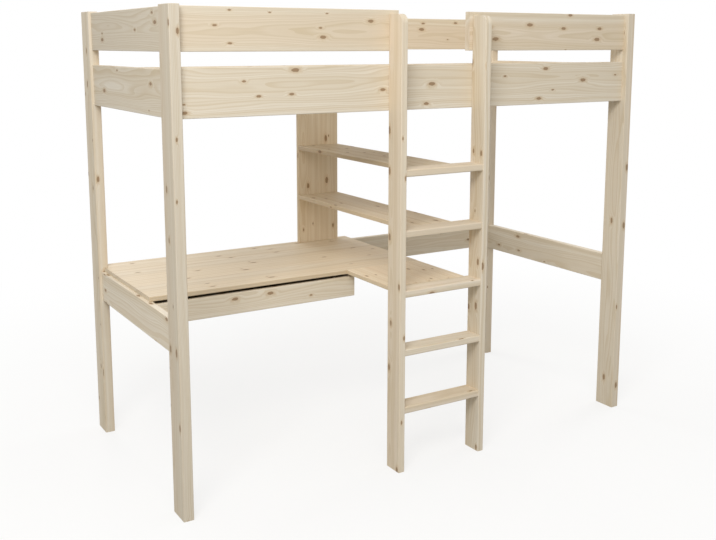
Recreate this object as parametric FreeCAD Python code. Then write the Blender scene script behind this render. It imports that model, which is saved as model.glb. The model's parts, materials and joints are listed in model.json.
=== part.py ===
"""Loft bed in solid pine with a ladder, an L-shaped desk, two shelves and a desk drawer.

Millimetres, +Z up. The origin lies on the floor under the middle of the whole bed.
+X runs along the bed, -Y is the side with the ladder.

Two glued end frames stand at left and right, their rails tenoned into the posts.
The long rails are drawn against the posts by bolts in recesses on their inner faces.
The ladder is bolted to the front rails, and its upper rungs carry the desk and the shelves.
"""
import FreeCAD, Part
import os

V = FreeCAD.Vector

# Frame
bed_length = 2080.0          # over the posts, for a 2000 mm mattress between them
bed_depth = 1000.0           # over the posts, for a 900 mm mattress between the rails
post_thick = 38.0            # post along the bed
post_width = 97.0            # post across the bed
post_rise = 5.0              # post above the guard rails
board_thick = 27.0           # rails and beams
edge_round = 3.0             # planed round on the long edges of the boards in sight
edge_bevel = 1.5             # taken off the tops of the posts and the edges of the slats
rail_recess = 22.0           # long rails stand back from the outer faces of the posts
rail_bottom = 1383.0         # clear height under the bed
side_rail_height = 167.0     # front side rail, a wider board than the others
end_rail_height = 160.0
back_rail_height = 147.0
rail_gap = 50.0              # between the front side rail and the guard rails
guard_height = 147.0

# Joints of the frame
tenon_thick = 12.0
tenon_length = 35.0          # end rails
tenon_shoulder = 20.0        # board left above and below a tenon
stub_length = 12.0           # long rails, two short tenons on each end
stub_height = 25.0
joint_play = 0.2             # glue room round a tenon, tongue or tread end
bolt_diameter = 8.0
bolt_head_flats = 13.0
bolt_head_thick = 6.0
bolt_in_post = 22.0
hole_play = 0.6              # hole over the diameter of what is in it
pocket_wall = 25.0           # wood between a rail's end and the pocket for a bolt head
pocket_length = 32.0
pocket_height = 28.0         # also the square recesses of the ladder bolts
pocket_floor = 6.0           # wood left outside the pocket

# Bed base
ledge_size = 30.0
ledge_rise = 38.0            # ledge above the lower edge of the side rails
slat_count = 14
slat_width = 70.0
slat_thick = 18.0
slat_margin = 30.0           # first and last slat to the posts
slat_play = 3.0              # slat end to rail
tape_width = 25.0
tape_thick = 0.8
tape_inset = 120.0           # tape from the rail

# Ladder
ladder_width = 410.0         # over the stiles
ladder_offset = 9.0          # middle of the ladder from the middle of the bed
stile_thick = 27.0
stile_depth = 84.0
stile_drop = 15.0            # stile top below the top of the guard rails
stile_top_round = 34.0
guard_overlap = 15.0         # guard rail ends beyond the inner faces of the stiles
first_rung_top = 258.0
rung_pitch = 228.0
rung_thick = 27.0
rung_setback = 3.0           # rung front behind stile front
rung_round = 5.0             # tread edges
rung_tenon_thick = 15.0
rung_tenon_width = 56.0
rung_tenon_length = 14.0
steps_to_desk = 3            # the desk is level with this rung
shelf_count = 2              # each rung above the desk carries a shelf
bolt_in_stile = 45.0
bolt_edge = 62.0             # bolt below the upper edge of a rail

# Desk and shelves
desk_thick = 18.0
desk_depth = 614.0
desk_bearing = 14.0          # desk top on the left and back beams
desk_end_gap = 20.0          # right edge of the desk to the right stile
return_width = 348.0         # part of the desk that runs forward to the ladder
beam_height = 122.0
fit_play = 0.5               # desk to the post that it is cut round
shelf_width = 208.0
shelf_thick = 18.0           # shelves and the upright behind them
upright_lap = 35.0           # upright on the inner face of the back side rail
upright_tenon = 8.0          # foot of the upright in the desk top
tongue_thick = 8.0
tongue_length = 10.0
tongue_inset = 14.0          # tongue to the edge of its board
plate_length = 90.0
plate_width = 30.0
plate_thick = 3.0
bracket_leg = 40.0
bracket_width = 30.0
bracket_thick = 2.5
bracket_count = 3            # along the back beam

# Drawer
drawer_front_thick = 18.0
drawer_front_height = 83.0
drawer_top_gap = 12.0        # finger gap under the desk top
drawer_side_gap = 3.0        # drawer front to the left beam
drawer_lap = 36.0            # drawer front under the desk return
drawer_side_thick = 12.0
drawer_side_height = 68.0
drawer_side_rise = 5.0       # box above the lower edge of the drawer front
drawer_back_room = 132.0     # drawer box to the back beam
drawer_bottom_thick = 5.0
drawer_bottom_rise = 10.0    # bottom above the lower edge of the sides
groove_depth = 6.0           # grooves in front, sides and desk top
hanger_thick = 18.0
hanger_height = 92.0
runner_gap = 12.5            # room for a runner beside the box
runner_height = 35.0
runner_wall = 1.2
runner_flange = 9.0
runner_play = 0.3            # sliding gap between the two halves

# Places of the frame
ladder_stand_out = stile_depth - rail_recess
front = (ladder_stand_out - bed_depth) / 2
back = front + bed_depth
left = -bed_length / 2
right = bed_length / 2
inner_left = left + post_thick
inner_right = right - post_thick
front_rail_y = (front + rail_recess, front + rail_recess + board_thick)
back_rail_y = (back - rail_recess - board_thick, back - rail_recess)
left_end_x = (inner_left - board_thick, inner_left)
right_end_x = (inner_right, inner_right + board_thick)
end_y = (front + post_width, back - post_width)
side_z = (rail_bottom, rail_bottom + side_rail_height)
end_z = (rail_bottom, rail_bottom + end_rail_height)
back_z = (rail_bottom, rail_bottom + back_rail_height)
guard_z = (side_z[1] + rail_gap, side_z[1] + rail_gap + guard_height)
post_top = guard_z[1] + post_rise
ledge_z = (rail_bottom + ledge_rise, rail_bottom + ledge_rise + ledge_size)

# Places of the ladder
stile_left_x = (ladder_offset - ladder_width / 2, ladder_offset - ladder_width / 2 + stile_thick)
stile_right_x = (ladder_offset + ladder_width / 2 - stile_thick, ladder_offset + ladder_width / 2)
stile_y = (front_rail_y[0] - stile_depth, front_rail_y[0])
stile_top = guard_z[1] - stile_drop
rung_count = steps_to_desk + shelf_count
rung_tops = [first_rung_top + rung_pitch * step for step in range(rung_count)]
rung_x = (stile_left_x[1], stile_right_x[0])
rung_y = (stile_y[0] + rung_setback, stile_y[1])

# Places of the desk, shelves and drawer
desk_z = (rung_tops[steps_to_desk - 1] - desk_thick, rung_tops[steps_to_desk - 1])
beam_z = (desk_z[0] - beam_height, desk_z[0])
desk_x = (inner_left - desk_bearing, stile_right_x[0] - desk_end_gap)
desk_y = (back_rail_y[0] + desk_bearing - desk_depth, back_rail_y[0] + desk_bearing)
return_x = (desk_x[1] - return_width, desk_x[1])
return_y = (stile_y[1], desk_y[0])
shelf_x = (ladder_offset - shelf_width / 2, ladder_offset + shelf_width / 2)
upright_y = (back_rail_y[0] - shelf_thick, back_rail_y[0])
shelf_y = (stile_y[1], upright_y[0])
drawer_front_x = (inner_left + drawer_side_gap, return_x[0] + drawer_lap)
drawer_front_y = (desk_y[0], desk_y[0] + drawer_front_thick)
drawer_front_z = (desk_z[0] - drawer_top_gap - drawer_front_height, desk_z[0] - drawer_top_gap)
hanger_x = (drawer_front_x[1] - hanger_thick, drawer_front_x[1])
box_x = (inner_left + runner_gap, hanger_x[0] - runner_gap)
box_y = (drawer_front_y[1], back_rail_y[0] - drawer_back_room)
box_bottom = drawer_front_z[0] + drawer_side_rise
box_z = (box_bottom, box_bottom + drawer_side_height)
bottom_z = (box_bottom + drawer_bottom_rise, box_bottom + drawer_bottom_rise + drawer_bottom_thick)

# Boards along the bed: their spans in X, Y and Z
long_rails = {
    "side_rail_front": ((inner_left, inner_right), front_rail_y, side_z),
    "guard_rail_front_left": ((inner_left, stile_left_x[1] + guard_overlap), front_rail_y, guard_z),
    "guard_rail_front_right": ((stile_right_x[0] - guard_overlap, inner_right), front_rail_y, guard_z),
    "side_rail_back": ((inner_left, inner_right), back_rail_y, back_z),
    "guard_rail_back": ((inner_left, inner_right), back_rail_y, guard_z),
    "desk_beam_back": ((inner_left, inner_right), back_rail_y, beam_z),
}


def middle(span):
    """Half way along a (low, high) pair."""
    return (span[0] + span[1]) / 2


def about(centre, width):
    """The (low, high) pair of a width about its middle."""
    return (centre - width / 2, centre + width / 2)


def grown(span, play):
    """A span with play added at both ends."""
    return (span[0] - play, span[1] + play)


def spread(span, margin, count):
    """Evenly spaced places along a span, the first and last a margin inside its ends."""
    step = (span[1] - span[0] - 2 * margin) / (count - 1)
    return [span[0] + margin + step * place for place in range(count)]


def block(x, y, z):
    """Square-edged box over three (low, high) pairs."""
    return Part.makeBox(x[1] - x[0], y[1] - y[0], z[1] - z[0], V(x[0], y[0], z[0]))


def board(x, y, z, along, radius=edge_round):
    """Planed board: a rectangle with rounded corners, carried along one axis."""
    spans = {"x": x, "y": y, "z": z}
    across = [name for name in "xyz" if name != along]
    (u0, u1), (v0, v1) = spans[across[0]], spans[across[1]]
    slant = radius * (1 - 0.5 ** 0.5)

    def at(u, v):
        place = {across[0]: u, across[1]: v, along: spans[along][0]}
        return V(place["x"], place["y"], place["z"])

    lines = [
        Part.LineSegment(at(u0 + radius, v0), at(u1 - radius, v0)),
        Part.Arc(at(u1 - radius, v0), at(u1 - slant, v0 + slant), at(u1, v0 + radius)),
        Part.LineSegment(at(u1, v0 + radius), at(u1, v1 - radius)),
        Part.Arc(at(u1, v1 - radius), at(u1 - slant, v1 - slant), at(u1 - radius, v1)),
        Part.LineSegment(at(u1 - radius, v1), at(u0 + radius, v1)),
        Part.Arc(at(u0 + radius, v1), at(u0 + slant, v1 - slant), at(u0, v1 - radius)),
        Part.LineSegment(at(u0, v1 - radius), at(u0, v0 + radius)),
        Part.Arc(at(u0, v0 + radius), at(u0 + slant, v0 + slant), at(u0 + radius, v0)),
    ]
    outline = Part.Wire([line.toShape() for line in lines])
    length = spans[along][1] - spans[along][0]
    return Part.Face(outline).extrude(V(*[length if name == along else 0 for name in "xyz"]))


def rod(diameter, start, direction, length):
    """Round bar, also used as a drill."""
    return Part.makeCylinder(diameter / 2, length, start, direction)


def hexagon(flats, start, direction, length):
    """Six-sided bar, measured across its flats."""
    corner = V(flats / 3 ** 0.5, 0, 0)
    points = [FreeCAD.Rotation(V(0, 0, 1), 60 * turn).multVec(corner) for turn in range(7)]
    bar = Part.Face(Part.makePolygon(points)).extrude(V(0, 0, length))
    bar.Placement = FreeCAD.Placement(start, FreeCAD.Rotation(V(0, 0, 1), direction))
    return bar


def less(body, tools):
    """Body with every tool in the list cut away."""
    return body.cut(Part.makeCompound(tools)) if tools else body


def with_added(body, pieces):
    """Body and its tenons or tongues as one solid."""
    for piece in pieces:
        body = body.fuse(piece)
    return body.removeSplitter()


# Joint between a long rail and a post

def rail_ends(name):
    """X of each end of a long rail that meets a post, and the direction from there into the rail."""
    x = long_rails[name][0]
    ends = []
    if x[0] == inner_left:
        ends.append((inner_left, V(1, 0, 0)))
    if x[1] == inner_right:
        ends.append((inner_right, V(-1, 0, 0)))
    return ends


def joints():
    """Every meeting of a long rail and a post: name, X of the face, direction into the rail, Y and Z."""
    return [(name, face, inward, middle(y), middle(z))
            for name, (x, y, z) in long_rails.items() for face, inward in rail_ends(name)]


def along_x(face, inward, start, end):
    """X span between two distances from a face, counted into the rail."""
    return tuple(sorted((face + inward.x * start, face + inward.x * end)))


def stubs(name, face, inward, play):
    """Two short tenons on a rail end, or with play the slots for them."""
    x, y, z = long_rails[name]
    depth = along_x(face, inward, -stub_length - play, 0)
    thick = grown(about(middle(y), tenon_thick), play)
    low = grown((z[0] + tenon_shoulder, z[0] + tenon_shoulder + stub_height), play)
    high = grown((z[1] - tenon_shoulder - stub_height, z[1] - tenon_shoulder), play)
    return [block(depth, thick, low), block(depth, thick, high)]


def bolt(under_head, direction, reach):
    """Hexagon bolt: its shank runs from under the head along a direction."""
    head = hexagon(bolt_head_flats, under_head, -direction, bolt_head_thick)
    return head.fuse(rod(bolt_diameter, under_head, direction, reach)).removeSplitter()


def rail_bolt(face, inward, y, z):
    """Bolt from the pocket in a rail end into the post."""
    return bolt(V(face, y, z) + inward * pocket_wall, -inward, pocket_wall + bolt_in_post)


def rail_bolt_hole(face, inward, y, z):
    """Blind hole for a rail bolt in the post."""
    return rod(bolt_diameter + hole_play, V(face, y, z), -inward, bolt_in_post + joint_play)


def from_inside(y, floor):
    """Y span of a recess in a long rail, from its inner face to the wood left outside it."""
    return (y[0] + floor, y[1]) if y == front_rail_y else (y[0], y[1] - floor)


def bolt_recess(name, face, inward):
    """T-shaped recess in a rail end for a bolt and its spanner, open to the inside of the bed."""
    x, y, z = long_rails[name]
    slot_floor = (board_thick - bolt_diameter - hole_play) / 2
    slot_z = about(middle(z), bolt_diameter + hole_play)
    slot = block(along_x(face, inward, 0, pocket_wall), from_inside(y, slot_floor), slot_z)
    pocket_x = along_x(face, inward, pocket_wall, pocket_wall + pocket_length)
    return slot.fuse(block(pocket_x, from_inside(y, pocket_floor), about(middle(z), pocket_height)))


# Ladder bolts

def ladder_bolts_at():
    """X, Z and rail of every bolt that holds a stile to a front rail."""
    sites = []
    for side, stile_x in (("left", stile_left_x), ("right", stile_right_x)):
        for name in ("side_rail_front", "guard_rail_front_" + side):
            sites.append((middle(stile_x), long_rails[name][2][1] - bolt_edge, name))
    return sites


def ladder_bolt(x, z):
    """Bolt from the inside of the rail into the back edge of a stile, its head flush with the rail."""
    reach = board_thick - bolt_head_thick + bolt_in_stile
    return bolt(V(x, front_rail_y[1] - bolt_head_thick, z), V(0, -1, 0), reach)


def ladder_bolt_hole(x, z):
    """Square recess for the head, hole through the rail and blind hole in the stile."""
    head_y = (front_rail_y[1] - bolt_head_thick, front_rail_y[1])
    recess = block(about(x, pocket_height), head_y, about(z, pocket_height))
    reach = board_thick - bolt_head_thick + bolt_in_stile + joint_play
    return recess.fuse(rod(bolt_diameter + hole_play, V(x, head_y[0], z), V(0, -1, 0), reach))


# Frame

def end_rail(x, z):
    """Rail across the end of the bed, with a tenon on each end."""
    tenon_y = grown(end_y, tenon_length)
    tenon_z = grown(z, -tenon_shoulder)
    return with_added(board(x, end_y, z, "y"), [block(about(middle(x), tenon_thick), tenon_y, tenon_z)])


def end_rail_slots(x):
    """Slots for the tenons of the three rails across one end, through both of its posts."""
    slot_x = about(middle(x), tenon_thick + 2 * joint_play)
    slot_y = grown(end_y, tenon_length + joint_play)
    return [block(slot_x, slot_y, grown(z, joint_play - tenon_shoulder)) for z in (beam_z, end_z, guard_z)]


def post(x, y, end_x):
    """Corner post with a bevelled top, slots for tenons and blind holes for bolts."""
    body = board(x, y, (0, post_top), "z")
    rim = [edge for edge in body.Edges if edge.BoundBox.ZMin > post_top - edge_bevel]
    tools = end_rail_slots(end_x)
    for name, face, inward, rail_y, z in joints():
        tools += stubs(name, face, inward, joint_play)
        tools.append(rail_bolt_hole(face, inward, rail_y, z))
    return less(body.makeChamfer(edge_bevel, rim), tools)


def long_rail(name):
    """Board along the bed with stub tenons, bolt recesses and the holes of what is bolted to it."""
    x, y, z = long_rails[name]
    tenons = []
    tools = []
    for face, inward in rail_ends(name):
        tenons += stubs(name, face, inward, 0)
        tools.append(bolt_recess(name, face, inward))
    tools += [ladder_bolt_hole(*site) for *site, rail in ladder_bolts_at() if rail == name]
    return less(with_added(board(x, y, z, "x"), tenons), tools)


# Bed base

def slat_places():
    """Middle of every slat along the bed."""
    return spread((inner_left, inner_right), slat_margin + slat_width / 2, slat_count)


def slat_ledge(y):
    """Square batten glued and screwed to the inside of a side rail."""
    return block((inner_left, inner_right), y, ledge_z)


def bed_slats():
    """Slats across the bed with bevelled upper edges, resting on the two ledges."""
    y = grown((front_rail_y[1], back_rail_y[0]), -slat_play)
    z = (ledge_z[1], ledge_z[1] + slat_thick)
    slats = []
    for place in slat_places():
        slat = block(about(place, slat_width), y, z)
        top_face = max(slat.Faces, key=lambda face: face.CenterOfMass.z)
        rims = [edge for edge in top_face.Edges if edge.BoundBox.YLength > slat_width]
        slats.append(slat.makeChamfer(edge_bevel, rims))
    return Part.makeCompound(slats)


def slat_tapes():
    """Two woven tapes under the slats, which keep them apart."""
    x = grown((slat_places()[0], slat_places()[-1]), slat_width / 2)
    z = (ledge_z[0] + ledge_size - tape_thick, ledge_z[1])
    places = (front_rail_y[1] + tape_inset, back_rail_y[0] - tape_inset)
    return Part.makeCompound([block(x, about(place, tape_width), z) for place in places])


# Ladder

def rung_tenon(step, play):
    """Both tenons of a rung in one bar, or with play the slots for them."""
    x = grown(rung_x, rung_tenon_length + play)
    y = grown(about(middle(rung_y), rung_tenon_width), play)
    z = grown(about(rung_tops[step] - rung_thick / 2, rung_tenon_thick), play)
    return block(x, y, z)


def ladder_stile(x):
    """Upright of the ladder with a rounded front corner at the top and slots for the rungs."""
    body = board(x, stile_y, (0, stile_top), "z")
    corner_y = (stile_y[0], stile_y[0] + stile_top_round)
    corner_z = (stile_top - stile_top_round, stile_top)
    pivot = V(x[0], corner_y[1], corner_z[0])
    waste = block(x, corner_y, corner_z).cut(rod(2 * stile_top_round, pivot, V(1, 0, 0), stile_thick))
    tools = [waste] + [rung_tenon(step, joint_play) for step in range(rung_count)]
    tools += [ladder_bolt_hole(*site) for *site, rail in ladder_bolts_at()]
    return less(body, tools)


def ladder_rung(step):
    """Tread tenoned into both stiles. Its back edge is slotted for the desk or the shelf behind it."""
    z = (rung_tops[step] - rung_thick, rung_tops[step])
    body = with_added(board(rung_x, rung_y, z, "x", rung_round), [rung_tenon(step, 0)])
    tools = []
    if step == steps_to_desk - 1:
        tools.append(return_tongue(stile_y[1], joint_play))
    if step >= steps_to_desk:
        tools.append(shelf_tongue(step, joint_play))
    return less(body, tools)


# Shelves and desk

def shelf_tongue(step, play):
    """Tongues on the front and back ends of a shelf in one board, or with play the slots for them."""
    x = grown(shelf_x, play - tongue_inset)
    z = grown(about(rung_tops[step] - rung_thick / 2, tongue_thick), play)
    return block(x, grown(shelf_y, tongue_length + play), z)


def shelf(step):
    """Board from the middle of a rung's back edge to the upright."""
    body = board(shelf_x, shelf_y, about(rung_tops[step] - rung_thick / 2, shelf_thick), "y")
    return with_added(body, [shelf_tongue(step, 0)])


def upright_foot(play):
    """Tenon under the upright, or with play the slot for it."""
    x = grown(shelf_x, play - tongue_inset)
    y = grown(about(middle(upright_y), tongue_thick), play)
    return block(x, y, (desk_z[1] - upright_tenon - play, desk_z[1] + upright_tenon))


def shelf_upright():
    """Board that stands on the desk, carries the shelves and is screwed to the back side rail."""
    body = board(shelf_x, upright_y, (desk_z[1], rail_bottom + upright_lap), "z")
    slots = [shelf_tongue(step, joint_play) for step in range(steps_to_desk, rung_count)]
    return less(with_added(body, [upright_foot(0)]), slots)


def return_tongue(seam_y, play):
    """Tongue on one end of the desk return, or with play the slot for it."""
    x = grown((stile_left_x[1], desk_x[1]), play - tongue_inset)
    y = about(seam_y, 2 * (tongue_length + play))
    return block(x, y, grown(about(middle(desk_z), tongue_thick), play))


def hanger_groove():
    """Groove under the desk top for the board that carries the right drawer runner."""
    return block(hanger_x, box_y, (desk_z[0], desk_z[0] + groove_depth))


def desk_top():
    """Main board of the desk, cut round the back left post and slotted for upright, return and hanger."""
    body = board(desk_x, desk_y, desk_z, "x")
    post_room = block((desk_x[0], inner_left + fit_play), (end_y[1] - fit_play, desk_y[1]), desk_z)
    slots = [upright_foot(joint_play), return_tongue(desk_y[0], joint_play), hanger_groove()]
    return less(body, [post_room] + slots)


def desk_return():
    """Narrow part of the desk that runs forward to the ladder, with a tongue on each end."""
    body = board(return_x, return_y, desk_z, "y")
    return with_added(body, [return_tongue(return_y[0], 0), return_tongue(return_y[1], 0)])


def desk_joint_plates():
    """Steel plates under the seam between the two boards of the desk."""
    y = about(desk_y[0], plate_length)
    z = (desk_z[0] - plate_thick, desk_z[0])
    places = spread((hanger_x[1], desk_x[1]), 2 * plate_width, 2)
    return Part.makeCompound([block(about(x, plate_width), y, z) for x in places])


def angle(corner, along, out):
    """Steel angle under the desk: one leg up a beam's face, one out under the board."""
    def at(away, down):
        return corner + out * away - V(0, 0, down)

    leg = bracket_leg
    thick = bracket_thick
    points = [at(0, 0), at(leg, 0), at(leg, thick), at(thick, thick), at(thick, leg), at(0, leg), at(0, 0)]
    bar = Part.Face(Part.makePolygon(points)).extrude(along * bracket_width)
    bar.translate(along * (-bracket_width / 2))
    return bar


def desk_brackets():
    """Angles that hold the desk to the back beam, and one to the left beam behind the drawer."""
    back_places = spread((inner_left, shelf_x[0]), 3 * bracket_width, bracket_count)
    angles = [angle(V(x, back_rail_y[0], desk_z[0]), V(1, 0, 0), V(0, -1, 0)) for x in back_places]
    angles.append(angle(V(inner_left, box_y[1] + bracket_width, desk_z[0]), V(0, 1, 0), V(1, 0, 0)))
    return Part.makeCompound(angles)


def drawer_hanger():
    """Board let into the desk top from below, which carries the right drawer runner."""
    return block(hanger_x, box_y, (desk_z[0] - hanger_height, desk_z[0] + groove_depth - joint_play))


# Drawer

def side_tongue(x, play):
    """Tongue on the front end of a drawer side, or with play the slot for it."""
    thick = grown(about(middle(x), drawer_side_thick / 2), play)
    return block(thick, (box_y[0] - groove_depth - play, box_y[0]), grown(box_z, play))


def drawer_sides_x():
    """X spans of the left and right drawer side."""
    return ((box_x[0], box_x[0] + drawer_side_thick), (box_x[1] - drawer_side_thick, box_x[1]))


def bottom_sheet(play):
    """Drawer bottom, or with play the room for it in the grooves."""
    x = grown(box_x, groove_depth - drawer_side_thick + play - joint_play)
    y = (box_y[0] - groove_depth + joint_play - play, box_y[1])
    return block(x, y, (bottom_z[0], bottom_z[1] + play))


def back_board(play):
    """Back of the drawer box, or with play the housings for its ends."""
    x = grown(box_x, groove_depth - drawer_side_thick + play - joint_play)
    y = grown((box_y[1] - 2 * drawer_side_thick, box_y[1] - drawer_side_thick), play)
    return block(x, y, (bottom_z[1] + joint_play, box_z[1] + play))


def drawer_front():
    """Plain board, pulled by its upper edge."""
    body = board(drawer_front_x, drawer_front_y, drawer_front_z, "x")
    return less(body, [bottom_sheet(joint_play)] + [side_tongue(x, joint_play) for x in drawer_sides_x()])


def drawer_side(x):
    """Side of the drawer box: tongue in the front, groove for the bottom, housing for the back."""
    body = with_added(block(x, box_y, box_z), [side_tongue(x, 0)])
    return less(body, [bottom_sheet(joint_play), back_board(joint_play)])


def channel(wall, out, height):
    """Steel channel: its web lies on a wall at X, its flanges point away from it."""
    z = about(middle(box_z), height)
    body = block(tuple(sorted((wall, wall + out * runner_flange))), box_y, z)
    hollow = tuple(sorted((wall + out * runner_wall, wall + out * runner_flange)))
    return body.cut(block(hollow, box_y, grown(z, -runner_wall)))


def runner_fixed(wall, out):
    """Outer half of a drawer runner, on the left beam or on the hanger."""
    return channel(wall, out, runner_height)


def runner_moving(wall, out):
    """Inner half of a drawer runner, on the side of the drawer and inside the outer half."""
    return channel(wall, out, runner_height - 2 * runner_wall - 2 * runner_play)


def build():
    """Every piece of the bed by its name."""
    nodes = {}
    ends = {"left": ((left, inner_left), left_end_x), "right": ((inner_right, right), right_end_x)}
    for end, (x, end_x) in ends.items():
        nodes["post_front_" + end] = post(x, (front, end_y[0]), end_x)
        nodes["post_back_" + end] = post(x, (end_y[1], back), end_x)
        nodes["end_rail_" + end + "_lower"] = end_rail(end_x, end_z)
        nodes["end_rail_" + end + "_upper"] = end_rail(end_x, guard_z)
        nodes["desk_beam_" + end] = end_rail(end_x, beam_z)
    for name in long_rails:
        nodes[name] = long_rail(name)
    nodes["rail_bolts"] = Part.makeCompound([rail_bolt(*site) for name, *site in joints()])
    nodes["slat_ledge_front"] = slat_ledge((front_rail_y[1], front_rail_y[1] + ledge_size))
    nodes["slat_ledge_back"] = slat_ledge((back_rail_y[0] - ledge_size, back_rail_y[0]))
    nodes["bed_slats"] = bed_slats()
    nodes["slat_tapes"] = slat_tapes()
    nodes["ladder_stile_left"] = ladder_stile(stile_left_x)
    nodes["ladder_stile_right"] = ladder_stile(stile_right_x)
    for step in range(rung_count):
        nodes["ladder_rung_" + str(step + 1)] = ladder_rung(step)
    nodes["ladder_bolts"] = Part.makeCompound([ladder_bolt(*site) for *site, rail in ladder_bolts_at()])
    for step in range(steps_to_desk, rung_count):
        nodes["shelf_" + str(step - steps_to_desk + 1)] = shelf(step)
    nodes["shelf_upright"] = shelf_upright()
    nodes["desk_top"] = desk_top()
    nodes["desk_return"] = desk_return()
    nodes["desk_joint_plates"] = desk_joint_plates()
    nodes["desk_brackets"] = desk_brackets()
    nodes["drawer_hanger"] = drawer_hanger()
    nodes["drawer_front"] = drawer_front()
    for name, x in zip(("left", "right"), drawer_sides_x()):
        nodes["drawer_side_" + name] = drawer_side(x)
    nodes["drawer_back"] = back_board(0)
    nodes["drawer_bottom"] = bottom_sheet(0)
    nodes["runner_fixed_left"] = runner_fixed(inner_left, 1)
    nodes["runner_fixed_right"] = runner_fixed(hanger_x[0], -1)
    nodes["runner_moving_left"] = runner_moving(box_x[0], -1)
    nodes["runner_moving_right"] = runner_moving(box_x[1], 1)
    return nodes


os.makedirs("parts", exist_ok=True)
for node, shape in build().items():
    shape.exportStep("parts/" + node + ".step")
    print(node, len(shape.Solids), round(shape.Volume), shape.isValid())
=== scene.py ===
"""Looks of the loft bed: pale pine with its own grain in each board, steel fittings, soft light.

Metres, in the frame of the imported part. Patterns are worked out in mm, from each board's middle.
"""
import bpy
import json
import math
import numpy as np
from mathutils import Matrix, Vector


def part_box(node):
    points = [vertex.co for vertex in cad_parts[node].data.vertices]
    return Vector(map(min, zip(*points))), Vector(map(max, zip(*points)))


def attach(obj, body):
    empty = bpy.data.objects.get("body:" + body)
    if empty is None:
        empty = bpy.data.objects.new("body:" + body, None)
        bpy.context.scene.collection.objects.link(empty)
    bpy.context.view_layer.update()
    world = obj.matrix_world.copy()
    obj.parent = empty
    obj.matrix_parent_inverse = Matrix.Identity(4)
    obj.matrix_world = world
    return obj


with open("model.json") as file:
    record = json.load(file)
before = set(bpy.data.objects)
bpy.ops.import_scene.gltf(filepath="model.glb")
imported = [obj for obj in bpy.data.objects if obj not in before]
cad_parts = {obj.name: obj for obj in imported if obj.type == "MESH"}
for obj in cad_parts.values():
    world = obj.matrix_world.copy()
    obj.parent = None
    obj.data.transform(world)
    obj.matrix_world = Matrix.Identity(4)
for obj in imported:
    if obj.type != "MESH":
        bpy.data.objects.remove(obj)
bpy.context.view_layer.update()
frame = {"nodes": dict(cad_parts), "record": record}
nodes = frame["nodes"]
MM = 0.001

# Colours of planed and limewashed pine
EARLY_WOOD = "#ECE2D0"
LATE_WOOD = "#D3C09F"
HEART_WOOD = "#E2CBB0"
FIBRE_SHADE = "#CFBEA2"
KNOT_HALO = "#CDB28C"
KNOT_CORE = "#A78B6B"
KNOT_RIM = "#8B7053"
GLUE_LINE = "#C4AE8A"
GLUED_BOUNCE_TINT = "#FFFAF2"       # painted warm tint of the light bounced under the bed, laid over edge-glued boards

# Growth of the pine, mm
RING_WIDTH = 4.0             # a little wider than slow-grown pine, so that rings show close by
BAND_WIDTH = 16.0            # good and lean years together, the streaks seen from afar
FIBRE_WIDTH = 1.8
FIBRE_LENGTH = 160.0
WANDER = 20.0                # how far the rings stray, slowly along a board and faster across it
WANDER_LENGTH = 700.0
WANDER_BREADTH = 1 / 0.011
PITH_ASIDE = 45.0            # the pith lies up to this far beside the board's middle
PITH_DEPTH = (55.0, 110.0)   # and this far above or below it
HEART_RADIUS = 78.0          # the warmer wood round the pith, with a soft border
HEART_BORDER = 14.0
STAVE_WIDTH = 85.0           # strips of an edge-glued board, about
GLUE_WIDTH = 0.8
PATTERN_RANGE = 900.0        # how far a pattern is moved from board to board

# Strength of the marks in the wood, 0 to 1, and the values between which each mark sets in
LATE_STRENGTH = 0.38
LATE_SPAN = (0.35, 0.9)      # share of a ring's width
BAND_STRENGTH = 0.5
BAND_SPAN = (0.3, 0.7)       # noise
FIBRE_STRENGTH = 0.4
FIBRE_SPAN = (0.45, 0.75)    # noise
HEART_STRENGTH = 0.4
GLUE_STRENGTH = 0.35
KNOT_RING_STRENGTH = 0.5
TONE_SPREAD = 0.03           # boards and staves are lighter or darker by up to this share
END_GRAIN_TONE = 0.94        # end grain is darker than the faces
STAVE_STRAY = 0.9            # how far from its place a stave was cut, in its widths
RING_RELIEF = 0.35           # height of late wood, where fibres have 1
PINE_ROUGHNESS = (0.5, 0.68)

# Knots
KNOT_PITCH = (190.0, 58.0)   # mm along and across the grain, one knot or none in each cell
KNOT_SCATTER = 0.85          # how freely a knot lies in its cell
KNOT_BARE = 0.5              # share of the cells without a knot
KNOT_RADIUS = (2.0, 6.5)     # mm
KNOT_NONE = 0.05             # mm, the radius that stands for no knot
KNOT_STRETCH = 2.2           # knots are longer along the grain
KNOT_DENT = 9.0              # mm, size of the dents in a knot's outline
KNOT_UNEVEN = 0.3            # depth of the dents
KNOT_BULGE = 6.0             # mm that the rings give way to a knot
KNOT_BEND = 4.0              # how far round a knot they do, in its radii
KNOT_RINGS = 3.5             # growth rings from a knot's middle to its rim
BROAD_FACING = 0.6           # part of the normal above which a face counts as broad, not as an edge
EDGE_CELLS = 50              # edges use cells this far from those of the broad faces
# Zones of a knot: colour, radii where it is full and where it ends, and strength
KNOT_ZONES = ((KNOT_HALO, 0.9, 2.6, 0.6), (KNOT_RIM, 0.85, 1.2, 0.85), (KNOT_CORE, 0.5, 0.9, 1.0))

# Boards whose grain doesn't follow their longest side, and boards glued up from staves
GRAIN_ACROSS_BED = ("bed_slats", "desk_return")
GLUED_BOARDS = ("desk_top", "desk_return", "shelf_1", "shelf_2", "shelf_upright")

# Boards drawn darker or lighter than the rest: painted shade under the bed on the shelves
# and desk top, painted light on the upright, and darker posts and end rails
BOARD_TONE_AND_SHADING = {"post_front_left": 0.87, "post_front_right": 0.95, "end_rail_left_upper": 0.88,
              "end_rail_left_lower": 0.92, "shelf_1": 0.97, "shelf_2": 0.85, "shelf_upright": 1.06,
              "desk_top": 0.96}

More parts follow.
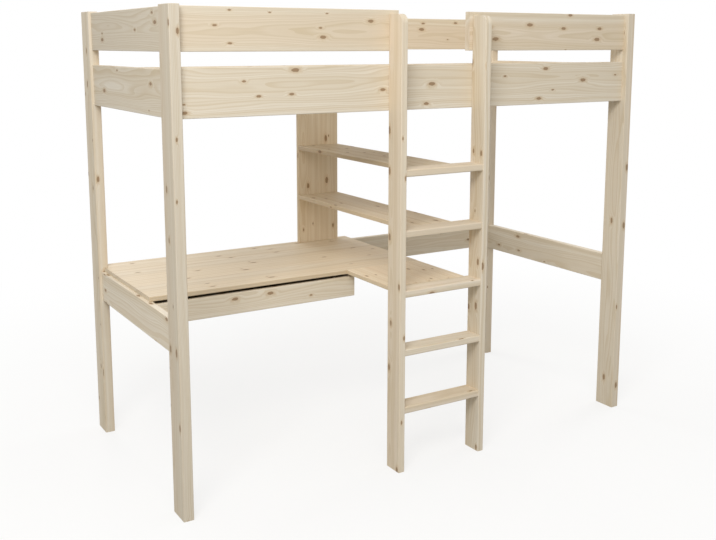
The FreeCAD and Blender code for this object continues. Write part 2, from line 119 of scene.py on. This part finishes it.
# Plywood of the drawer's bottom: colours, and sizes in mm
PLY_FACE = ("#E2CFAA", "#C9AE80")
PLY_DARK = "#A98A5C"
PLY_THICK = 1.7
PLY_PALE_HALF = 0.8          # half of the pale ply in the middle
PLY_FIGURE = (220.0, 14.0)   # along and across the grain

# Fittings: colours and pattern sizes
ZINC = ("#B9BCC0", "#D2D4D6")
ZINC_CLOUD = 12.0 * MM
ZINC_PIT = 1.2 * MM
POWDER_WHITE = ("#E9E8E3", "#F0EFEB")
POWDER_PEEL = 1.5 * MM
TAPE_THREADS = ("#E4E0D6", "#CFC9BB")
TAPE_PITCH = 1.6 * MM        # coarser than real, so that the weave shows

SLAT_COUNT = 14
SLAT_WIDTH = 70.0 * MM

# Wood screws: diameter of the head, its other sizes in radii, and where screws sit
SCREW_HEAD = 8.0 * MM
HEAD_POINTS = 13             # grid points across a head
HEAD_RISE = 0.22
HEAD_WALL = 0.2
CROSS_ARM = 0.12             # half the width of an arm of the cross recess
CROSS_REACH = 0.6
CROSS_DEPTH = 0.3
BRACKET_LEG = 2.5 * MM       # thickness of a bracket
SCREW_INSET = 12.0 * MM      # from the end of a fitting or slat
SCREW_ASIDE = 8.0 * MM       # from the middle of a bracket
UPRIGHT_INSET = 36.0 * MM
LEDGE_SCREWS = 8
LEDGE_INSET = 80.0 * MM
BOTTOM_SCREWS = 5
BOTTOM_INSET = 60.0 * MM

# Camera: place in metres, angles in degrees, lens in millimetres
CAMERA_PLACE = (-2.119, -3.399, 1.623)
CAMERA_TURN = 31.18          # from +Y towards +X
CAMERA_DIP = 9.23
CAMERA_LENS = 48.04
CAMERA_SHIFT = (0.0017, -0.098)

# Light: lamps with their watts and places
SKY_STRENGTH = 0.64
LAMPS = {"key": (34.0, (-1.7, -4.0, 3.9)), "side": (106.0, (-3.0, -3.0, 4.0)),
         "back": (55.0, (-0.4, 4.8, 3.0)), "right": (40.0, (4.8, 0.6, 3.0))}
LAMP_SIZE = 1.8
LAMP_TARGET = (-0.1, -0.2, 0.9)

# Floor: colours as seen and as it throws light back, and metres from the middle where it fades
WHITE = "#FFFFFF"
FLOOR_PAINT = "#F2F1EE"
FLOOR_BOUNCE = "#A8A8A6"
FLOOR_FADE = (1.2, 3.4)
FLOOR_WHITE = 0.72           # share of white before the fade
FLOOR_HALF = 30.0


def linear(code):
    """sRGB hex to linear RGBA: c/12.92 up to 0.04045, above it ((c + 0.055)/1.055)^2.4."""
    values = np.array([int(code[place:place + 2], 16) for place in (1, 3, 5)]) / 255
    curved = ((values + 0.055) / 1.055) ** 2.4
    return (*np.where(values <= 0.04045, values / 12.92, curved), 1.0)


def add(tree, kind, inputs, **settings):
    """Adds a shader node and returns its outputs.

    Settings are the node's properties. Inputs go to its sockets by name or place:
    another node's output is linked, anything else becomes the socket's value.
    A Mix node has its colours at places 6 and 7 and its colour result at place 2.
    """
    node = tree.nodes.new("ShaderNode" + kind)
    for name, value in settings.items():
        setattr(node, name, value)
    for place, value in inputs.items():
        if isinstance(value, bpy.types.NodeSocket):
            tree.links.new(value, node.inputs[place])
        else:
            node.inputs[place].default_value = value
    return node.outputs


def new_material(name):
    """An empty node material and its tree."""
    made = bpy.data.materials.new(name)
    made.use_nodes = True
    made.node_tree.nodes.clear()
    return made, made.node_tree


def board_space(tree, middle, axes):
    """Distances in mm from a board's middle along, across and through it.

    With them come the parts of the normal along the board, where end grain shows, and through
    it, where its broad faces do, both without their sign.
    """
    coordinates = add(tree, "TexCoord", {})
    place = add(tree, "Mapping", {"Vector": coordinates["Object"],
                                  "Scale": (1 / MM, 1 / MM, 1 / MM),
                                  "Location": tuple(-value / MM for value in middle)})[0]
    distances = add(tree, "SeparateXYZ", {0: place})
    normal = add(tree, "VectorMath", {0: coordinates["Normal"]}, operation="ABSOLUTE")[0]
    facing = add(tree, "SeparateXYZ", {0: normal})
    return [distances[axis] for axis in axes], facing[axes[0]], facing[axes[2]]


def stave_space(tree, along, across, tone, shift, stave):
    """Distances along and across each strip of a glued board, its tone, and the glue lines.

    Strip number = whole part of (across - first edge) / width. A random number for each strip
    moves its pattern along and across, and makes it lighter or darker.
    """
    start, width = stave
    place = add(tree, "Math", {0: across, 1: 1 / width, 2: -start / width},
                operation="MULTIPLY_ADD")[0]
    order = add(tree, "Math", {0: place}, operation="FLOOR")[0]
    strip = add(tree, "Math", {0: order, 1: shift})[0]
    luck = add(tree, "TexWhiteNoise", {"W": strip}, noise_dimensions="1D")[0]
    tint = add(tree, "MapRange", {"Value": luck, "To Min": 1 - TONE_SPREAD,
                                  "To Max": 1 + TONE_SPREAD})[0]
    tone = add(tree, "Math", {0: tone, 1: tint}, operation="MULTIPLY")[0]
    along = add(tree, "Math", {0: luck, 1: PATTERN_RANGE, 2: along}, operation="MULTIPLY_ADD")[0]
    within = add(tree, "Math", {0: place, 1: order}, operation="SUBTRACT")[0]
    from_seam = add(tree, "Math", {0: within, 1: 0.5}, operation="PINGPONG")[0]
    seam = add(tree, "MapRange", {"Value": from_seam, "From Max": GLUE_WIDTH / width,
                                  "To Min": GLUE_STRENGTH, "To Max": 0.0})[0]
    stray = STAVE_STRAY * width
    strayed = add(tree, "MapRange", {"Value": luck, "To Min": -stray, "To Max": stray})[0]
    across = add(tree, "Math", {0: within, 1: width, 2: strayed}, operation="MULTIPLY_ADD")[0]
    return along, across, tone, seam


def knot_reach(tree, distances, end_on, broad_on, shift):
    """Distance from the nearest knot's middle, shortened along the grain, / its uneven radius.

    Knots lie in the cells of a Voronoi pattern, on broad faces and on edges.
    On end grain and in bare cells the radius shrinks to almost nothing.
    """
    along, across, through = distances
    broad = add(tree, "Math", {0: broad_on, 1: BROAD_FACING}, operation="GREATER_THAN")[0]
    on_edge = add(tree, "Math", {0: through, 1: EDGE_CELLS * KNOT_PITCH[1]})[0]
    aside = add(tree, "Mix", {0: broad, 2: on_edge, 3: across})[0]
    flat = add(tree, "CombineXYZ", {0: along, 1: aside})[0]
    cell = add(tree, "VectorMath", {0: flat, 1: (1 / KNOT_PITCH[0], 1 / KNOT_PITCH[1], 0),
                                    2: (shift, shift, 0)}, operation="MULTIPLY_ADD")[0]
    knot = add(tree, "TexVoronoi", {"Vector": cell, "Scale": 1.0, "Randomness": KNOT_SCATTER},
               voronoi_dimensions="2D")
    away = add(tree, "VectorMath", {0: cell, 1: knot["Position"]}, operation="SUBTRACT")[0]
    away = add(tree, "VectorMath", {0: away, 1: (KNOT_PITCH[0] / KNOT_STRETCH, KNOT_PITCH[1], 0)},
               operation="MULTIPLY")[0]
    away = add(tree, "VectorMath", {0: away}, operation="LENGTH")["Value"]
    luck = add(tree, "SeparateColor", {0: knot["Color"]})
    kept = add(tree, "Math", {0: luck[0], 1: KNOT_BARE}, operation="GREATER_THAN")[0]
    kept = add(tree, "Math", {0: kept, 1: end_on}, operation="SUBTRACT", use_clamp=True)[0]
    radius = add(tree, "MapRange", {"Value": luck[1], "To Min": KNOT_RADIUS[0],
                                    "To Max": KNOT_RADIUS[1]})[0]
    radius = add(tree, "Math", {0: radius, 1: kept, 2: KNOT_NONE}, operation="MULTIPLY_ADD")[0]
    reach = add(tree, "Math", {0: away, 1: radius}, operation="DIVIDE")[0]
    dent = add(tree, "TexNoise", {"Vector": flat, "Scale": 1 / KNOT_DENT, "Detail": 2.0})[0]
    dent = add(tree, "MapRange", {"Value": dent, "To Min": 1 - KNOT_UNEVEN,
                                  "To Max": 1 + KNOT_UNEVEN})[0]
    return add(tree, "Math", {0: reach, 1: dent}, operation="MULTIPLY")[0]


def pith_distance(tree, board, reach, pith, shift):
    """Distance in mm from the pith, a line along the board, + slow wander + bulge at each knot."""
    bulge = add(tree, "MapRange", {"Value": reach, "From Max": KNOT_BEND,
                                   "To Min": KNOT_BULGE, "To Max": 0.0},
                interpolation_type="SMOOTHSTEP")[0]
    pace = (1 / WANDER_LENGTH, 1 / WANDER_BREADTH, 1 / WANDER_BREADTH)
    slow = add(tree, "VectorMath", {0: board, 1: pace, 2: (shift, 0, 0)},
               operation="MULTIPLY_ADD")[0]
    wander = add(tree, "TexNoise", {"Vector": slow, "Scale": 1.0, "Detail": 2.0,
                                    "Roughness": 0.45})[0]
    wander = add(tree, "MapRange", {"Value": wander, "To Min": -WANDER, "To Max": WANDER})[0]
    spoke = add(tree, "VectorMath", {0: board, 1: (0, 1, 1), 2: tuple(-value for value in pith)},
                operation="MULTIPLY_ADD")[0]
    spoke = add(tree, "VectorMath", {0: spoke}, operation="LENGTH")["Value"]
    spoke = add(tree, "Math", {0: spoke, 1: wander})[0]
    return add(tree, "Math", {0: spoke, 1: bulge})[0]


def pine(node, middle, axes, chance, stave=None):
    """Planed and limewashed pine: a solid of growth rings with knots, cut by the board's faces.

    Ring phase = fraction of (distance from the pith / ring width).
    The eye gets pale early wood with thin darker late wood in lines and arches, arcs on the end
    grain, fine fibres, and brown knots drawn out along the grain. Staves are the strips of an
    edge-glued board. A board's tone says how light it is, with painted shade on some boards
    and painted light on the upright; glued boards get a painted warm tint of bounced light.
    """
    made, tree = new_material("planed_pine." + node)
    (along, across, through), end_on, broad_on = board_space(tree, middle, axes)
    pith = (0.0, chance.uniform(-PITH_ASIDE, PITH_ASIDE),
            chance.choice((-1, 1)) * chance.uniform(*PITH_DEPTH))
    shift = chance.uniform(0, PATTERN_RANGE)
    # Painted shade on the shelves and desk top and painted light on the upright, times a random
    # tone
    face_tone_and_shading = BOARD_TONE_AND_SHADING.get(node, 1.0) * chance.uniform(1 - TONE_SPREAD, 1 + TONE_SPREAD)
    tone = add(tree, "MapRange", {"Value": end_on, "To Min": face_tone_and_shading,
                                  "To Max": END_GRAIN_TONE * face_tone_and_shading})[0]
    seam = None
    if stave:
        along, across, tone, seam = stave_space(tree, along, across, tone, shift, stave)
    board = add(tree, "CombineXYZ", {0: along, 1: across, 2: through})[0]
    reach = knot_reach(tree, (along, across, through), end_on, broad_on, shift)
    spoke = pith_distance(tree, board, reach, pith, shift)

    # Early and late wood, bands of good and lean years, heartwood
    season = add(tree, "Math", {0: spoke, 1: RING_WIDTH}, operation="DIVIDE")[0]
    season = add(tree, "Math", {0: season}, operation="FRACT")[0]
    late = add(tree, "MapRange", {"Value": season, "From Min": LATE_SPAN[0],
                                  "From Max": LATE_SPAN[1]}, interpolation_type="SMOOTHSTEP")[0]
    years = add(tree, "Math", {0: spoke, 1: 1 / BAND_WIDTH, 2: shift}, operation="MULTIPLY_ADD")[0]
    years = add(tree, "TexNoise", {"W": years, "Scale": 1.0, "Detail": 2.0},
                noise_dimensions="1D")[0]
    years = add(tree, "MapRange", {"Value": years, "From Min": BAND_SPAN[0],
                                   "From Max": BAND_SPAN[1], "To Max": BAND_STRENGTH})[0]
    grain = add(tree, "Math", {0: late, 1: LATE_STRENGTH, 2: years}, operation="MULTIPLY_ADD")[0]
    heart = add(tree, "MapRange", {"Value": spoke, "From Min": HEART_RADIUS - HEART_BORDER,
                                   "From Max": HEART_RADIUS + HEART_BORDER,
                                   "To Min": HEART_STRENGTH, "To Max": 0.0},
                interpolation_type="SMOOTHSTEP")[0]
    young = add(tree, "Mix", {0: heart, 6: linear(EARLY_WOOD), 7: linear(HEART_WOOD)},
                data_type="RGBA")[2]
    colour = add(tree, "Mix", {0: grain, 6: young, 7: linear(LATE_WOOD)}, data_type="RGBA")[2]

    # Fibres, glue lines, and the zones and rings of the knots
    pace = (1 / FIBRE_LENGTH, 1 / FIBRE_WIDTH, 1 / FIBRE_WIDTH)
    fine = add(tree, "VectorMath", {0: board, 1: pace}, operation="MULTIPLY")[0]
    fibre = add(tree, "TexNoise", {"Vector": fine, "Scale": 1.0, "Detail": 3.0,
                                   "Roughness": 0.6})[0]
    streak = add(tree, "MapRange", {"Value": fibre, "From Min": FIBRE_SPAN[0],
                                    "From Max": FIBRE_SPAN[1], "To Max": FIBRE_STRENGTH})[0]
    colour = add(tree, "Mix", {0: streak, 6: colour, 7: linear(FIBRE_SHADE)}, data_type="RGBA")[2]
    if seam:
        colour = add(tree, "Mix", {0: seam, 6: colour, 7: linear(GLUE_LINE)}, data_type="RGBA")[2]
    for zone, full, end, strength in KNOT_ZONES:
        mask = add(tree, "MapRange", {"Value": reach, "From Min": full, "From Max": end,
                                      "To Min": strength, "To Max": 0.0},
                   interpolation_type="SMOOTHSTEP")[0]
        colour = add(tree, "Mix", {0: mask, 6: colour, 7: linear(zone)}, data_type="RGBA")[2]
    half_ring = 1 / KNOT_RINGS / 2
    inner = add(tree, "Math", {0: reach, 1: half_ring}, operation="PINGPONG")[0]
    inner = add(tree, "MapRange", {"Value": inner, "From Max": half_ring,
                                   "To Max": KNOT_RING_STRENGTH})[0]
    inner = add(tree, "Math", {0: inner, 1: mask}, operation="MULTIPLY")[0]
    colour = add(tree, "Mix", {0: inner, 6: colour, 7: linear(KNOT_RIM)}, data_type="RGBA")[2]
    # Painted warm tint of the light bounced among the boards under the bed, on the glued boards
    if node in GLUED_BOARDS:
        colour = add(tree, "Mix", {0: 1.0, 6: colour, 7: linear(GLUED_BOUNCE_TINT)}, data_type="RGBA",
                     blend_type="MULTIPLY")[2]
    colour = add(tree, "VectorMath", {0: colour, "Scale": tone}, operation="SCALE")[0]

    relief = add(tree, "Math", {0: late, 1: RING_RELIEF, 2: fibre}, operation="MULTIPLY_ADD")[0]
    bump = add(tree, "Bump", {"Strength": 0.2, "Distance": 0.5 * MM, "Height": relief})[0]
    rough = add(tree, "MapRange", {"Value": fibre, "To Min": PINE_ROUGHNESS[0],
                                   "To Max": PINE_ROUGHNESS[1]})[0]
    shader = add(tree, "BsdfPrincipled", {"Base Color": colour, "Roughness": rough, "IOR": 1.5,
                                          "Specular IOR Level": 0.35, "Normal": bump})[0]
    add(tree, "OutputMaterial", {"Surface": shader})
    return made


def plywood(name, middle, axes):
    """Sanded plywood sheet: quiet rotary-cut face grain, and three plies in lines along the edges.

    A ply is dark where the distance through the sheet, folded at the ply's thickness, passes the
    pale ply's half.
    """
    made, tree = new_material(name)
    (along, across, through), _, broad_on = board_space(tree, middle, axes)
    board = add(tree, "CombineXYZ", {0: along, 1: across, 2: through})[0]
    pace = (1 / PLY_FIGURE[0], 1 / PLY_FIGURE[1], 1 / PLY_THICK)
    fine = add(tree, "VectorMath", {0: board, 1: pace}, operation="MULTIPLY")[0]
    figure = add(tree, "TexNoise", {"Vector": fine, "Scale": 1.0, "Detail": 4.0,
                                    "Roughness": 0.6})[0]
    colour = add(tree, "Mix", {0: figure, 6: linear(PLY_FACE[0]), 7: linear(PLY_FACE[1])},
                 data_type="RGBA")[2]
    ply = add(tree, "Math", {0: through, 1: PLY_THICK}, operation="PINGPONG")[0]
    ply = add(tree, "Math", {0: ply, 1: PLY_PALE_HALF}, operation="GREATER_THAN")[0]
    ply = add(tree, "Math", {0: ply, 1: broad_on}, operation="SUBTRACT", use_clamp=True)[0]
    colour = add(tree, "Mix", {0: ply, 6: colour, 7: linear(PLY_DARK)}, data_type="RGBA")[2]
    bump = add(tree, "Bump", {"Strength": 0.12, "Distance": 0.4 * MM, "Height": figure})[0]
    shader = add(tree, "BsdfPrincipled", {"Base Color": colour, "Roughness": 0.6, "IOR": 1.5,
                                          "Normal": bump})[0]
    add(tree, "OutputMaterial", {"Surface": shader})
    return made


def zinc_plate(name):
    """Bright zinc on steel: a soft grey metal with faint cloudy patches and a fine rolled bump."""
    made, tree = new_material(name)
    place = add(tree, "TexCoord", {})["Object"]
    cloud = add(tree, "TexNoise", {"Vector": place, "Scale": 1 / ZINC_CLOUD, "Detail": 3.0})[0]
    colour = add(tree, "Mix", {0: cloud, 6: linear(ZINC[0]), 7: linear(ZINC[1])},
                 data_type="RGBA")[2]
    rough = add(tree, "MapRange", {"Value": cloud, "To Min": 0.28, "To Max": 0.44})[0]
    pit = add(tree, "TexNoise", {"Vector": place, "Scale": 1 / ZINC_PIT, "Detail": 2.0})[0]
    bump = add(tree, "Bump", {"Strength": 0.15, "Distance": 0.2 * MM, "Height": pit})[0]
    shader = add(tree, "BsdfPrincipled", {"Base Color": colour, "Metallic": 1.0,
                                          "Roughness": rough, "Normal": bump})[0]
    add(tree, "OutputMaterial", {"Surface": shader})
    return made


def powder_coat(name):
    """White powder coat on steel runners: satin, with the fine orange peel that baking leaves."""
    made, tree = new_material(name)
    place = add(tree, "TexCoord", {})["Object"]
    peel = add(tree, "TexNoise", {"Vector": place, "Scale": 1 / POWDER_PEEL, "Detail": 1.0})[0]
    colour = add(tree, "Mix", {0: peel, 6: linear(POWDER_WHITE[0]), 7: linear(POWDER_WHITE[1])},
                 data_type="RGBA")[2]
    bump = add(tree, "Bump", {"Strength": 0.2, "Distance": 0.1 * MM, "Height": peel})[0]
    shader = add(tree, "BsdfPrincipled", {"Base Color": colour, "Roughness": 0.38, "IOR": 1.5,
                                          "Normal": bump})[0]
    add(tree, "OutputMaterial", {"Surface": shader})
    return made


def woven_tape(name):
    """Woven polyester tape: an off-white plain weave, threads over and under in a chequer."""
    made, tree = new_material(name)
    place = add(tree, "TexCoord", {})["Object"]
    threads = add(tree, "TexChecker", {"Vector": place, "Scale": 1 / TAPE_PITCH})["Fac"]
    colour = add(tree, "Mix", {0: threads, 6: linear(TAPE_THREADS[0]), 7: linear(TAPE_THREADS[1])},
                 data_type="RGBA")[2]
    bump = add(tree, "Bump", {"Strength": 0.5, "Distance": 0.3 * MM, "Height": threads})[0]
    shader = add(tree, "BsdfPrincipled", {"Base Color": colour, "Roughness": 0.85,
                                          "Sheen Weight": 0.2, "Normal": bump})[0]
    add(tree, "OutputMaterial", {"Surface": shader})
    return made


def board_axes(node):
    """A board's middle, its sides, and its axes along the grain, across and through the board.

    The longest side comes first, unless the board is named as having its grain across the bed.
    """
    low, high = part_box(node)
    sides = np.array(high - low)
    order = list(np.argsort(-sides))
    if node in GRAIN_ACROSS_BED:
        order = [1] + [axis for axis in order if axis != 1]
    return (low + high) / 2, sides, order


def staves(node, sides, axes):
    """First edge and width in mm of a glued board's strips, or of the slats.

    A slat's strip takes half a gap on each side, so that no glue line shows.
    """
    width = sides[axes[1]] / MM
    if node == "bed_slats":
        pitch = (width - SLAT_WIDTH / MM) / (SLAT_COUNT - 1)
        return -pitch * SLAT_COUNT / 2, pitch
    return -width / 2, width / round(width / STAVE_WIDTH)


def dress_nodes():
    """Gives every CAD node its material: each board a pine of its own, the fittings one per finish.

    Returns the materials of the fittings.
    """
    slots = {part["node"]: part["material_slot"] for part in frame["record"]["subparts"]}
    fittings = {"zinc_steel": zinc_plate("bright_zinc_plate"),
                "runner_steel": powder_coat("white_powder_coat"),
                "webbing": woven_tape("woven_polyester_tape")}
    for number, node in enumerate(sorted(nodes)):
        made = fittings.get(slots[node])
        if made is None:
            middle, sides, axes = board_axes(node)
            if slots[node] == "plywood":
                made = plywood("sanded_plywood", middle, axes)
            else:
                glued = node in GLUED_BOARDS or node == "bed_slats"
                made = pine(node, middle, axes, np.random.default_rng(number),
                            staves(node, sides, axes) if glued else None)
        nodes[node].data.materials.clear()
        nodes[node].data.materials.append(made)
    return fittings


def islands(node, axis):
    """Boxes of the separate solids of a node that lie apart along one axis.

    The spans of the triangles along the axis, in order, are joined as long as they overlap.
    """
    mesh = nodes[node].data
    points = np.empty(len(mesh.vertices) * 3)
    mesh.vertices.foreach_get("co", points)
    corners = np.empty(len(mesh.loops), int)
    mesh.loops.foreach_get("vertex_index", corners)
    triangles = points.reshape(-1, 3)[corners].reshape(-1, 3, 3)
    low, high = triangles.min(1), triangles.max(1)
    order = np.argsort(low[:, axis])
    reach = np.maximum.accumulate(high[order, axis])
    breaks = np.nonzero(low[order[1:], axis] > reach[:-1] + MM)[0] + 1
    return [(low[group].min(0), high[group].max(0)) for group in np.split(order, breaks)]


def screw_heads(name, body, places, outward, finish):
    """Oval-headed wood screws with a cross recess, at places on a surface that faces outward.

    A head is the square (u, v) from -1 to 1 drawn to a disc:
    x = u sqrt(1 - v^2/2), y = v sqrt(1 - u^2/2), in radii.
    Its height is the rise times (1 - x^2 - y^2), less the depth of the cross inside its arms.
    """
    grid = np.linspace(-1, 1, HEAD_POINTS)
    u, v = np.meshgrid(grid, grid, indexing="ij")
    x = u * np.sqrt(1 - v ** 2 / 2)
    y = v * np.sqrt(1 - u ** 2 / 2)
    arm = np.minimum(np.abs(u), np.abs(v)) < CROSS_ARM
    recess = arm & (np.maximum(np.abs(u), np.abs(v)) < CROSS_REACH)
    height = HEAD_RISE * (1 - x ** 2 - y ** 2) - CROSS_DEPTH * recess
    out = np.array(outward, float)
    side = np.roll(np.abs(out), 1)
    up = np.cross(out, side)
    head = (SCREW_HEAD / 2) * (x[..., None] * side + y[..., None] * up + height[..., None] * out)
    points = np.asarray(places)[:, None, None] + head
    index = np.arange(points.size // 3).reshape(points.shape[:3])
    faces = np.stack([index[:, :-1, :-1], index[:, 1:, :-1],
                      index[:, 1:, 1:], index[:, :-1, 1:]], -1).reshape(-1, 4)
    mesh = bpy.data.meshes.new(name)
    mesh.from_pydata(points.reshape(-1, 3), [], faces)
    mesh.polygons.foreach_set("use_smooth", np.ones(len(faces), bool))
    piece = bpy.data.objects.new(name, mesh)
    bpy.context.scene.collection.objects.link(piece)
    wall = piece.modifiers.new("wall", "SOLIDIFY")
    wall.thickness = HEAD_WALL * SCREW_HEAD / 2
    piece.data.materials.append(finish)
    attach(piece, body)


def fit_screws(finish):
    """Screws in brackets, joining plates, ledges, end slats, upright and drawer bottom."""
    front_faces, right_faces, under_faces = [], [], []
    for low, high in islands("desk_brackets", 0):
        middle = (low + high) / 2
        on_back_beam = high[1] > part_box("desk_beam_back")[0].y - MM
        for aside in (-SCREW_ASIDE, SCREW_ASIDE):
            x, y = middle[0] + aside, middle[1] + aside
            if on_back_beam:
                front_faces.append((x, high[1] - BRACKET_LEG, low[2] + SCREW_INSET))
                under_faces.append((x, low[1] + SCREW_INSET, high[2] - BRACKET_LEG))
            else:
                right_faces.append((low[0] + BRACKET_LEG, y, low[2] + SCREW_INSET))
                under_faces.append((high[0] - SCREW_INSET, y, high[2] - BRACKET_LEG))
    for low, high in islands("desk_joint_plates", 0):
        middle = (low + high) / 2
        for end in (low[1] + SCREW_INSET, high[1] - SCREW_INSET):
            under_faces.append((middle[0], end, low[2]))
            under_faces.append((middle[0], (end + middle[1]) / 2, low[2]))
    screw_heads("bracket_screws", "bed_frame", front_faces, (0, -1, 0), finish)
    screw_heads("beam_bracket_screws", "bed_frame", right_faces, (1, 0, 0), finish)
    screw_heads("desk_screws", "bed_frame", under_faces, (0, 0, -1), finish)

    for side, outward in (("front", (0, 1, 0)), ("back", (0, -1, 0))):
        low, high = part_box("slat_ledge_" + side)
        face = high.y if side == "front" else low.y
        along = np.linspace(low.x + LEDGE_INSET, high.x - LEDGE_INSET, LEDGE_SCREWS)
        places = [(x, face, (low.z + high.z) / 2) for x in along]
        screw_heads("ledge_screws_" + side, "bed_frame", places, outward, finish)

    slats = islands("bed_slats", 0)
    ends = [((low[0] + high[0]) / 2, y, high[2]) for low, high in (slats[0], slats[-1])
            for y in (low[1] + SCREW_INSET, high[1] - SCREW_INSET)]
    screw_heads("slat_screws", "bed_frame", ends, (0, 0, 1), finish)

    low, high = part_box("shelf_upright")
    rail_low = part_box("side_rail_back")[0].z
    places = [(x, low.y, (rail_low + high.z) / 2)
              for x in (low.x + UPRIGHT_INSET, high.x - UPRIGHT_INSET)]
    screw_heads("upright_screws", "bed_frame", places, (0, -1, 0), finish)

    low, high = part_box("drawer_bottom")
    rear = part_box("drawer_back")
    along = np.linspace(low.x + BOTTOM_INSET, high.x - BOTTOM_INSET, BOTTOM_SCREWS)
    places = [(x, (rear[0].y + rear[1].y) / 2, low.z) for x in along]
    screw_heads("drawer_bottom_screws", "drawer", places, (0, 0, -1), finish)


def seen_directly(tree):
    """1 on rays from the camera and in mirrors or glass, 0 on the light that bounces."""
    path = add(tree, "LightPath", {})
    seen = add(tree, "Math", {0: path["Is Camera Ray"], 1: path["Is Glossy Ray"]},
               operation="MAXIMUM")[0]
    return add(tree, "Math", {0: seen, 1: path["Is Transmission Ray"]}, operation="MAXIMUM")[0]


def studio_floor():
    """Pale floor that fades to white away from the bed.

    It throws back less light than its paint would, so that the undersides stay in shade.
    """
    made, tree = new_material("studio_floor")
    seen = seen_directly(tree)
    place = add(tree, "TexCoord", {})["Object"]
    away = add(tree, "VectorMath", {0: place}, operation="LENGTH")["Value"]
    fade = add(tree, "MapRange", {"Value": away, "From Min": FLOOR_FADE[0],
                                  "From Max": FLOOR_FADE[1], "To Min": FLOOR_WHITE,
                                  "To Max": 1.0}, interpolation_type="SMOOTHSTEP")[0]
    fade = add(tree, "Math", {0: fade, 1: seen}, operation="MULTIPLY")[0]
    paint = add(tree, "Mix", {0: seen, 6: linear(FLOOR_BOUNCE), 7: linear(FLOOR_PAINT)},
                data_type="RGBA")[2]
    matt = add(tree, "BsdfDiffuse", {"Color": paint})[0]
    white = add(tree, "Emission", {"Color": linear(WHITE), "Strength": 1.0})[0]
    mixed = add(tree, "MixShader", {0: fade, 1: matt, 2: white})[0]
    add(tree, "OutputMaterial", {"Surface": mixed})

    half = FLOOR_HALF
    corners = [(-half, -half, 0), (half, -half, 0), (half, half, 0), (-half, half, 0)]
    mesh = bpy.data.meshes.new("floor")
    mesh.from_pydata(corners, [], [(0, 1, 2, 3)])
    mesh.materials.append(made)
    floor = bpy.data.objects.new("floor", mesh)
    bpy.context.scene.collection.objects.link(floor)


def studio_light():
    """White surroundings and soft light from the front left, with lamps for the back and right."""
    world = bpy.data.worlds.new("white_surroundings")
    world.use_nodes = True
    tree = world.node_tree
    tree.nodes.clear()
    strength = add(tree, "MapRange", {"Value": seen_directly(tree), "To Min": SKY_STRENGTH,
                                      "To Max": 1.0})[0]
    sky = add(tree, "Background", {"Color": linear(WHITE), "Strength": strength})[0]
    add(tree, "OutputWorld", {"Surface": sky})
    bpy.context.scene.world = world

    for name, (power, place) in LAMPS.items():
        lamp = bpy.data.lights.new(name, "AREA")
        lamp.energy = power
        lamp.size = LAMP_SIZE
        hung = bpy.data.objects.new(name, lamp)
        hung.location = place
        aim = np.subtract(LAMP_TARGET, place)
        tilt = math.acos(-aim[2] / np.linalg.norm(aim))
        hung.rotation_euler = (tilt, 0, math.atan2(aim[1], aim[0]) - math.pi / 2)
        bpy.context.scene.collection.objects.link(hung)


def camera():
    """Camera at eye height, off the bed's left front corner."""
    view = bpy.data.cameras.new("camera")
    view.lens = CAMERA_LENS
    view.shift_x, view.shift_y = CAMERA_SHIFT
    eye = bpy.data.objects.new("camera", view)
    eye.location = CAMERA_PLACE
    eye.rotation_euler = (math.radians(90 - CAMERA_DIP), 0, math.radians(-CAMERA_TURN))
    bpy.context.scene.collection.objects.link(eye)
    bpy.context.scene.camera = eye


fittings = dress_nodes()
fit_screws(fittings["zinc_steel"])
studio_floor()
studio_light()
camera()
bpy.context.scene.view_settings.view_transform = "Standard"
